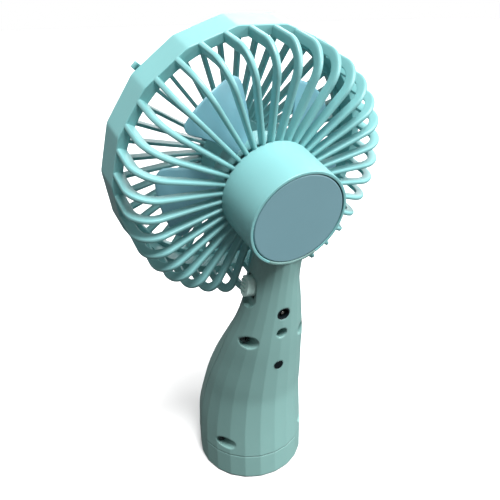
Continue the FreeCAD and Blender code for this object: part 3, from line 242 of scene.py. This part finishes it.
MINT = linear(131, 189, 190)
LOOKS = {
    "mint_plastic": moulded("mint_plastic", MINT, 0.36, milky=0.12),
    # handle_plastic is a greyer copy of the mint, painted shade: the handle is the same mint moulding, but it
    # is duller here because it lies in the head's shadow and in duller light
    "handle_plastic": moulded("handle_plastic", linear(124, 164, 160), 0.4, edge=0.0009, milky=0.08),
    # cap_plastic is a grey-blue copy of the mint, painted shade: the rear disc's colour is taken from how the
    # body looks in shadow
    "cap_plastic": moulded("cap_plastic", linear(122, 163, 173), 0.5, edge=0.0002, mottle=0.03),
    "blade_plastic": moulded("blade_plastic", linear(128, 182, 196), 0.34, milky=0.2),
    "button_plastic": moulded("button_plastic", linear(200, 234, 228), 0.42, edge=0.0002),
    "pad_rubber": moulded("pad_rubber", linear(96, 128, 126), 0.85, grain=0.00008, gloss=0.3),
    "black_plastic": moulded("black_plastic", linear(14, 25, 30), 0.4, edge=0.00012, mottle=0.2),
    "white_plastic": moulded("white_plastic", linear(226, 226, 220), 0.5, edge=0.0001),
    "dark_lens": moulded(
        "dark_lens", linear(6, 16, 20), 0.22, edge=0.0002, grain=0.000002, gloss=0.3, coat=0.1,
    ),
    "cell_sleeve": moulded("cell_sleeve", linear(52, 96, 158), 0.3, grain=0.00001, coat=0.4),
    "red_insulation": moulded("red_insulation", linear(196, 36, 30), 0.4, edge=0.0001),
    "black_insulation": moulded("black_insulation", linear(22, 22, 23), 0.42, edge=0.0001),
    "screw_steel": metal("screw_steel", linear(70, 72, 74), 0.4, stretch=(8, 1, 8)),
    "plated_metal": metal("plated_metal", linear(214, 214, 208), 0.2),
    "can_steel": metal("can_steel", linear(176, 178, 180), 0.3),
    "magnet": metal("magnet", linear(58, 58, 60), 0.6, stretch=(1, 1, 1), scratch=0.00005),
    "bush_brass": metal("bush_brass", linear(200, 160, 84), 0.3, stretch=(6, 6, 1)),
    "copper_wire": winding("copper_wire", linear(200, 104, 58)),
    "board_laminate": laminate("board_laminate", linear(28, 96, 54)),
    "foam": foam("foam", linear(34, 34, 36)),
}

NODE_LOOKS = {entry["node"]: entry["material_slot"] for entry in frame["record"]["subparts"]}
# The handle shells and base cap take the greyer handle colour, painted shade standing in for the dimmer light
# on the handle
for shell in ("handle_rear_shell", "handle_front_shell", "base_cap"):
    NODE_LOOKS[shell] = "handle_plastic"
NODE_LOOKS["impeller"] = "blade_plastic"
for label, item in frame["nodes"].items():
    item.data.materials.clear()
    item.data.materials.append(LOOKS[NODE_LOOKS[label]])


# Mesh building --------------------------------------------------------------------------

def grid_faces(bm, rows, wrap_rows=False, wrap_columns=True, flip=False, material=0):
    """Quads between neighbouring rows of vertices."""
    count = len(rows)
    width = len(rows[0])
    for i in range(count if wrap_rows else count - 1):
        for j in range(width if wrap_columns else width - 1):
            corners = [
                rows[i][j], rows[i][(j + 1) % width],
                rows[(i + 1) % count][(j + 1) % width], rows[(i + 1) % count][j],
            ]
            unique = []
            for corner in corners:
                if corner not in unique:
                    unique.append(corner)
            if len(unique) > 2:
                face = bm.faces.new(unique[::-1] if flip else unique)
                face.material_index = material
                face.smooth = True


def rounded_profile(corners, steps=4):
    """Closed or open profile from (x, y) or (x, y, radius) corners, with each rounding stepped."""
    points = [Vector(corner[:2]) for corner in corners]
    result = []
    for k, corner in enumerate(corners):
        if len(corner) < 3:
            result.append(points[k])
            continue
        before = (points[k - 1] - points[k]).normalized()
        after = (points[(k + 1) % len(points)] - points[k]).normalized()
        half = before.angle(after) / 2
        reach = corner[2] / math.tan(half)
        first = points[k] + before * reach
        last = points[k] + after * reach
        centre = points[k] + (before + after).normalized() * (corner[2] / math.sin(half))
        for m in range(steps + 1):
            t = m / steps
            spot = first.lerp(last, t) - centre
            result.append(centre + spot.normalized() * corner[2])
    return result


def ring_rows(bm, profile, angles, reach=None):
    """Vertex rows of a profile (r, d) turned to each angle; reach scales r where it is outside."""
    rows = []
    for angle in angles:
        row = []
        for point in profile:
            radius = reach(point, angle) if reach else point[0]
            row.append(bm.verts.new((radius * math.cos(angle), radius * math.sin(angle), point[1])))
        rows.append(row)
    return rows


def turned(bm, corners, segments=96):
    """Solid of revolution about Z from a closed profile."""
    angles = [TURN * k / segments for k in range(segments)]
    grid_faces(bm, ring_rows(bm, rounded_profile(corners), angles), wrap_rows=True)


def section_ring(bm, frame_point, out_way, side_way, section):
    """Vertices of a section (side, depth) at a point of a path."""
    return [bm.verts.new(frame_point + side_way * side + out_way * depth) for side, depth in section]


def close_ends(bm, rows):
    """Flat faces on the first and last rows of a closed section."""
    bm.faces.new(rows[0][::-1])
    bm.faces.new(rows[-1])


def merge(bm, other, turn=0.0):
    """Add another mesh turned about Z."""
    mesh = bpy.data.meshes.new("part")
    other.to_mesh(mesh)
    mesh.transform(Matrix.Rotation(turn, 4, "Z"))
    bm.from_mesh(mesh)
    bpy.data.meshes.remove(mesh)


def head_piece(name, bm, looks, body, replaced):
    """Object from a mesh in the head's frame, in millimetres."""
    bmesh.ops.recalc_face_normals(bm, faces=bm.faces)
    mesh = bpy.data.meshes.new(name)
    bm.to_mesh(mesh)
    bm.free()
    mesh.transform(HEAD @ Matrix.Scale(MM, 4))
    piece = bpy.data.objects.new(name, mesh)
    bpy.context.scene.collection.objects.link(piece)
    for look in looks:
        mesh.materials.append(LOOKS[look])
    mesh.shade_smooth()
    mesh.set_sharp_from_angle(angle=SMOOTH_BELOW)
    weighted = piece.modifiers.new("weighted", "WEIGHTED_NORMAL")
    weighted.keep_sharp = True
    weighted.weight = 80
    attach(piece, body)
    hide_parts(replaced)


def cut_away(bm, tools):
    """The mesh with each tool mesh cut out of it."""
    scene_objects = bpy.context.scene.collection.objects
    mesh = bpy.data.meshes.new("base")
    bmesh.ops.recalc_face_normals(bm, faces=bm.faces)
    bm.to_mesh(mesh)
    bm.free()
    base = bpy.data.objects.new("base", mesh)
    scene_objects.link(base)
    helpers = [base]
    for tool in tools:
        bmesh.ops.recalc_face_normals(tool, faces=tool.faces)
        tool_mesh = bpy.data.meshes.new("tool")
        tool.to_mesh(tool_mesh)
        tool.free()
        helper = bpy.data.objects.new("tool", tool_mesh)
        scene_objects.link(helper)
        helpers.append(helper)
        modifier = base.modifiers.new("cut", "BOOLEAN")
        modifier.operation = "DIFFERENCE"
        modifier.solver = "EXACT"
        modifier.object = helper
    bpy.context.view_layer.update()
    evaluated = base.evaluated_get(bpy.context.evaluated_depsgraph_get())
    result = bmesh.new()
    result.from_mesh(evaluated.to_mesh())
    evaluated.to_mesh_clear()
    for helper in helpers:
        data = helper.data
        bpy.data.objects.remove(helper)
        bpy.data.meshes.remove(data)
    return result


def sector_block(inner, outer, low, high, middle, half_angle, steps=10):
    """Block between two radii and two heights, over a sector in degrees."""
    bm = bmesh.new()
    angles = [math.radians(middle + half_angle * (2 * k / steps - 1)) for k in range(steps + 1)]
    rows = ring_rows(bm, [(inner, low), (outer, low), (outer, high), (inner, high)], angles)
    grid_faces(bm, rows)
    close_ends(bm, rows)
    return bm


# Rear guard -----------------------------------------------------------------------------

RING_BACK, RING_FRONT, RING_BORE = 36.4, 48.1, 45.6
SEAT, SEAT_BACK = 46.9, 44.5
RING_SIDES = 18
ROUND_WITHIN = 47.6
RIB_COUNT, RIB_PHASE = 36, 5


def facet_reach(point, angle):
    """Radius of a many-sided outline with softened corners; inner points stay round."""
    if point[0] < ROUND_WITHIN:
        return point[0]
    step = TURN / RING_SIDES
    off = abs((angle % step) - step / 2)
    flat = math.cos(step / 2) / math.cos(off)
    corner_off = step / 2 - off
    soften = 0.0016 * max(0.0, 1 - corner_off / math.radians(1.0))
    return point[0] * (flat - soften)


ring = bmesh.new()
ring_profile = rounded_profile([
    (RING_BORE, RING_BACK, 0.3), (49.6, RING_BACK, 0.35), (50.0, RING_FRONT, 0.35), (SEAT, RING_FRONT, 0.25),
    (SEAT, SEAT_BACK), (RING_BORE, SEAT_BACK, 0.2),
], 3)
ring_angles = []
for k in range(RING_SIDES):
    for off in (0.0, 0.45, 1.0, 4.0, 7.0, 10.0, 13.0, 16.0, 19.0, 19.55):
        ring_angles.append(math.radians(360 / RING_SIDES * k + off))
grid_faces(ring, ring_rows(ring, ring_profile, ring_angles, facet_reach), wrap_rows=True)
locks = []
for k in range(3):
    locks.append(sector_block(46.4, 48.2, 45.1, 47.0, 120 * k, 13))
    locks.append(sector_block(46.4, 48.2, 46.7, 49.5, 120 * k + 5, 8))
guard = cut_away(ring, locks)

cup = bmesh.new()
turned(cup, [
    (16.6, 0.0, 0.12), (17.6, 0.0, 0.28), (18.1, 19.6, 0.5), (17.3, 20.7, 0.4), (3.4, 20.7, 0.2), (3.4, 18.5),
    (16.0, 18.5, 0.3), (16.0, 2.2), (16.6, 2.2),
], 120)
cup = cut_away(cup, [sector_block(15.0, 19.0, -1.0, 14.2, -90, 31.8, 24)])
merge(guard, cup)
cup.free()


def rib_mesh():
    """One rib with a rounded crest, wider at the ring, in the plane at angle nil."""
    outer = rounded_profile([(48.95, 38.2), (48.95, 17.2, 9.5), (16.6, 19.3)], 14)
    inner = rounded_profile([(45.5, 38.2), (45.5, 20.6, 6.1), (16.6, 22.7)], 14)
    bm = bmesh.new()
    rows = []
    side = Vector((0, 1, 0))
    # More stations along the straight run in towards the cup
    pairs = list(zip(outer, inner))
    last_outer, last_inner = pairs[-2], pairs[-1]
    runs = [
        (last_outer[0].lerp(last_inner[0], t), last_outer[1].lerp(last_inner[1], t))
        for t in (0.25, 0.5, 0.75)
    ]
    pairs = pairs[:-1] + runs + pairs[-1:]
    length = [0.0]
    for before, after in zip(pairs, pairs[1:]):
        length.append(length[-1] + (after[0] - before[0]).length)
    for (far, near), run in zip(pairs, length):
        share = run / length[-1]
        half = 1.0 - 0.25 * share
        depth = (far - near).length
        inward = (near - far).normalized()
        out_way = Vector((inward.x, 0, inward.y))
        point = Vector((far.x, 0, far.y))
        section = [
            (-half, 0.95), (-half * 0.93, 0.5), (-half * 0.72, 0.18), (-half * 0.38, 0.03), (0, 0.0),
            (half * 0.38, 0.03), (half * 0.72, 0.18), (half * 0.93, 0.5), (half, 0.95),
            (half * 0.86, depth - 0.3), (half * 0.66, depth), (-half * 0.66, depth),
            (-half * 0.86, depth - 0.3),
        ]
        rows.append(section_ring(bm, point, out_way, side, section))
    grid_faces(bm, rows)
    close_ends(bm, rows)
    return bm


rib = rib_mesh()
for k in range(RIB_COUNT):
    merge(guard, rib, math.radians(RIB_PHASE + 360 / RIB_COUNT * k))
rib.free()
head_piece("rear_guard_look", guard, ["mint_plastic"], "handle", "rear_guard")

# Impeller -------------------------------------------------------------------------------

HUB_BACK, HUB_TOP = 22.9, 35.6
BLADE_ROOT, BLADE_TIP, BLADE_CORNER = 14.4, 35.5, 4.5
BLADE_COUNT = 5
BLADE_SWEEP = math.radians(46)
BLADE_CAMBER = 1.1
EDGE_ROUND = 0.9
ROOT_FILLET = 0.7


def blend(low, high, t):
    return low + (high - low) * t


def blade_mesh():
    """Twisted blade with a thin, rounded edge all round and rounded tip corners."""
    bm = bmesh.new()
    across_steps = [0.0, 0.012, 0.035, 0.08] + [k / 16 for k in range(2, 15)] + [0.92, 0.965, 0.988, 1.0]
    out_steps = [k / 18 for k in range(18)] + [0.975, 0.99, 1.0]
    sides = {}
    for upper in (False, True):
        rows = []
        for out in out_steps:
            row = []
            for across in across_steps:
                chord = BLADE_SWEEP * BLADE_TIP
                edge = min(across, 1 - across) * chord
                short = 0.0
                if edge < BLADE_CORNER:
                    short = BLADE_CORNER - math.sqrt(BLADE_CORNER ** 2 - (BLADE_CORNER - edge) ** 2)
                radius = blend(BLADE_ROOT, BLADE_TIP - short, out)
                share = (radius - BLADE_ROOT) / (BLADE_TIP - BLADE_ROOT)
                angle = math.radians(blend(blend(49, 33, share), blend(83, 79, share), across))
                depth = blend(blend(24.8, 29.2, share), blend(32.9, 36.6, share), across)
                depth -= BLADE_CAMBER * 4 * across * (1 - across)
                thick = blend(1.25, 0.95, share)
                rim = min(1.0, edge / EDGE_ROUND, (1 - out) * (BLADE_TIP - BLADE_ROOT) / EDGE_ROUND)
                swell = math.sqrt(max(0.0, 1 - (1 - rim) ** 2))
                root = max(0.0, 1 - (radius - 15.6) / 2.4) ** 2
                way = 1 if upper else -1
                lift = thick / 2 * (1 + way * (0.15 + 0.85 * swell)) + way * ROOT_FILLET * root
                row.append(bm.verts.new((radius * math.cos(angle), radius * math.sin(angle), depth + lift)))
            rows.append(row)
        sides[upper] = rows
        grid_faces(bm, rows, wrap_columns=False, flip=upper, material=1)
    low, high = sides[False], sides[True]
    loop_low = [row[0] for row in low] + low[-1][1:] + [row[-1] for row in low[-2::-1]] + low[0][-2:0:-1]
    loop_high = [row[0] for row in high] + high[-1][1:] + [row[-1] for row in high[-2::-1]] + high[0][-2:0:-1]
    grid_faces(bm, [loop_low, loop_high], material=1)
    return bm


impeller = bmesh.new()
turned(impeller, [
    (15.2, HUB_BACK, 0.2), (16.7, HUB_BACK, 0.3), (15.15, HUB_TOP - 0.1, 3.2), (NEAR_AXIS, HUB_TOP),
    (NEAR_AXIS, 33.0), (3.0, 33.0), (3.0, 24.0, 0.2), (1.0, 24.0), (1.0, 33.4), (2.9, 34.1),
    (13.7, 34.1, 1.5),
], 96)
blade = blade_mesh()
for k in range(BLADE_COUNT):
    merge(impeller, blade, TURN * k / BLADE_COUNT)
blade.free()
head_piece(
    "impeller_look", impeller, ["mint_plastic", "blade_plastic"], "rotor", "impeller",
)

# Front guard ----------------------------------------------------------------------------

SPOKE_COUNT, SPOKE_PHASE = 40, 5.3
SPOKE_STATIONS = 9
LUG_ANGLE = 43.0

front = bmesh.new()
turned(front, [(44.0, 44.8, 0.3), (46.6, 44.8, 0.2), (46.6, 48.1, 0.45), (44.0, 48.1, 0.45)], 144)
turned(front, [
    (NEAR_AXIS, 47.3), (13.5, 47.3, 0.3), (13.5, 50.8, 0.6), (11.0, 50.8, 0.25), (11.0, 50.0),
    (NEAR_AXIS, 50.0),
], 96)


def spoke_mesh():
    """Front bar, deep and narrow with a rounded front, in the plane at angle nil."""
    bm = bmesh.new()
    rows = []
    for k in range(SPOKE_STATIONS):
        t = k / (SPOKE_STATIONS - 1)
        half = blend(0.64, 0.7, t)
        point = Vector((blend(12.4, 44.6, t), 0, blend(50.8, 48.8, t)))
        depth = blend(3.3, 3.2, t)
        section = [
            (-half, -0.6), (-half * 0.8, -0.2), (-half * 0.4, -0.02), (half * 0.4, -0.02), (half * 0.8, -0.2),
            (half, -0.6), (half * 0.85, 0.25 - depth), (half * 0.55, -depth), (-half * 0.55, -depth),
            (-half * 0.85, 0.25 - depth),
        ]
        rows.append(section_ring(bm, point, Vector((0, 0, 1)), Vector((0, 1, 0)), section))
    grid_faces(bm, rows)
    close_ends(bm, rows)
    return bm


spoke = spoke_mesh()
for k in range(SPOKE_COUNT):
    merge(front, spoke, math.radians(SPOKE_PHASE + 360 / SPOKE_COUNT * k))
spoke.free()
for k in range(3):
    tab = sector_block(46.0, 47.9, 45.4, 46.7, 120 * k - 5, 7.5)
    merge(front, tab)
    tab.free()


def lug_mesh():
    """Thumb lug: a strap over the ring's front edge with its end turned back."""
    bm = bmesh.new()
    outline = rounded_profile([
        (44.2, 47.6), (46.2, 47.6), (46.2, 48.4, 0.15), (50.3, 48.4, 0.2), (50.3, 47.8, 0.15),
        (51.2, 47.8, 0.3), (51.2, 49.6, 0.8), (44.2, 49.6, 0.6),
    ], 4)
    rows = []
    for side in (-1.2, -1.0, 1.0, 1.2):
        inset = 0.18 if abs(side) > 1.1 else 0.0
        middle = Vector((48.2, 48.8))
        row = []
        for point in outline:
            off = point - middle
            near = point + (-off.normalized() * inset)
            row.append(bm.verts.new((near.x, side, near.y)))
        rows.append(row)
    grid_faces(bm, rows)
    close_ends(bm, rows)
    return bm


lug = lug_mesh()
merge(front, lug, math.radians(LUG_ANGLE))
lug.free()
head_piece("front_guard_look", front, ["mint_plastic"], "front", "front_guard")

# Floor, light and camera ----------------------------------------------------------------

def stage_floor():
    mesh = bpy.data.meshes.new("floor")
    bm = bmesh.new()
    half = 12.0
    square = ((-half, -half), (half, -half), (half, half), (-half, half))
    bm.faces.new([bm.verts.new((x, y, 0)) for x, y in square])
    bm.to_mesh(mesh)
    bm.free()
    floor = bpy.data.objects.new("floor", mesh)
    bpy.context.scene.collection.objects.link(floor)
    s = Shader("floor")
    tint = s.ramp(s.noise(6, 3), [(0.3, linear(240, 240, 240)), (0.7, linear(246, 246, 246))])
    s.join(tint, s.surface.inputs["Base Color"])
    s.surface.inputs["Roughness"].default_value = 0.9
    mesh.materials.append(s.material)
    floor.visible_diffuse = False
    floor.visible_glossy = False


stage_floor()

AZIMUTH, ELEVATION, ROLL = math.radians(152.6), math.radians(24.39), math.radians(-1.17)
right = Vector((math.cos(AZIMUTH), math.sin(AZIMUTH), 0))
back = Vector((
    math.sin(AZIMUTH) * math.cos(ELEVATION), -math.cos(AZIMUTH) * math.cos(ELEVATION), math.sin(ELEVATION),
))
up = back.cross(right)
camera_data = bpy.data.cameras.new("camera")
camera_data.lens = 36.99
camera_data.sensor_width = 36.0
camera_data.clip_start = 0.01
camera = bpy.data.objects.new("camera", camera_data)
turn = Matrix((right, up, back)).transposed() @ Matrix.Rotation(ROLL, 3, "Z")
camera.matrix_world = Matrix.Translation((0.08368, 0.16515, 0.18189)) @ turn.to_4x4()
bpy.context.scene.collection.objects.link(camera)
bpy.context.scene.camera = camera

TARGET = Vector((0, 0.01, 0.11))
level_back = Vector((back.x, back.y, 0)).normalized()


def sun(name, towards, spread, strength):
    """Soft light from one direction; the spread is its disc's width in degrees."""
    data = bpy.data.lights.new(name, "SUN")
    data.energy = strength
    data.angle = math.radians(spread)
    light = bpy.data.objects.new(name, data)
    light.location = TARGET + towards
    light.rotation_euler = towards.to_track_quat("Z", "Y").to_euler()
    bpy.context.scene.collection.objects.link(light)


sun("key", Vector((0, 0, 1.0)) + right * 0.25 + level_back * 0.42, 28, 5.2)
sun("side", right * 1.0 + level_back * 0.18 + Vector((0, 0, 0.3)), 30, 2.5)
sun("front", level_back * -1.0 + Vector((0, 0, 0.5)) + right * 0.2, 50, 1.6)

world = bpy.data.worlds.new("studio")
world.use_nodes = True
background = world.node_tree.nodes["Background"]
background.inputs["Color"].default_value = (1, 1, 1, 1)
nodes, links = world.node_tree.nodes, world.node_tree.links
height = nodes.new("ShaderNodeSeparateXYZ")
links.new(nodes.new("ShaderNodeTexCoord").outputs["Generated"], height.inputs["Vector"])
fill = nodes.new("ShaderNodeMapRange")
fill.inputs["From Min"].default_value = -1.0
fill.inputs["To Min"].default_value = 0.1
fill.inputs["To Max"].default_value = 0.35
links.new(height.outputs["Z"], fill.inputs["Value"])
strength = nodes.new("ShaderNodeMapRange")
strength.inputs["To Max"].default_value = 1.0
links.new(nodes.new("ShaderNodeLightPath").outputs["Is Camera Ray"], strength.inputs["Value"])
links.new(fill.outputs["Result"], strength.inputs["To Min"])
links.new(strength.outputs["Result"], background.inputs["Strength"])
bpy.context.scene.world = world
bpy.context.scene.view_settings.view_transform = "Standard"
